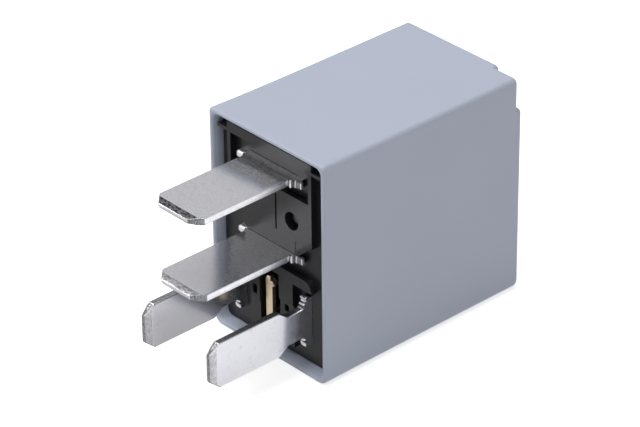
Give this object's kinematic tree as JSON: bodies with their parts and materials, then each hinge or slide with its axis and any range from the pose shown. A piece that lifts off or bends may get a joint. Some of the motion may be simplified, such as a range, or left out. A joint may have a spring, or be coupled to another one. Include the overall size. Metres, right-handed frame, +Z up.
{
  "type": "automotive relay",
  "caption": "Plug-in micro relay with a boxed cover, black base and flat blade terminals, normally open.",
  "frame": {"origin": "middle of the whole length and width, on the surface that the narrow side rests on", "axes": "+Z up from the resting narrow side, -Y the way the blades point, +X across the body"},
  "size_m": [0.016, 0.037, 0.0237],
  "materials": {
    "cover": "grey-blue moulded PBT, satin",
    "base": "black moulded PBT",
    "tinned": "tin-plated copper alloy, bright",
    "brass": "bare rolled brass",
    "iron": "nickel-flashed soft iron",
    "bobbin": "natural glass-filled nylon",
    "copper": "enamelled copper wire",
    "spring": "copper alloy spring strip",
    "silver": "silver alloy, satin",
    "rivets": "plated steel"
  },
  "bodies": {
    "relay": {"cover": "cover", "base": "base", "terminal_30": "tinned", "terminal_87": "tinned", "terminal_85": "tinned", "terminal_86": "tinned", "rest_strip": "brass", "yoke": "iron", "core": "iron", "bobbin": "bobbin", "winding": "copper", "coil_pins": "tinned", "contact_spring": "spring", "fixed_contact": "silver", "terminal_rivets": "rivets", "spring_rivets": "rivets"},
    "armature": {"armature": "iron", "armature_rivets": "rivets", "moving_contact": "silver"}
  },
  "joints": [
    {"name": "armature_hinge", "type": "hinge", "parent": "relay", "child": "armature", "pos_m": [0, 0.0144, 0.0194], "axis": [-1, 0, 0], "range_deg": [0, 2.6], "stiffness_Nm_per_rad": 0.004, "springref_deg": -14.32, "deforming": ["contact_spring"]}
  ]
}
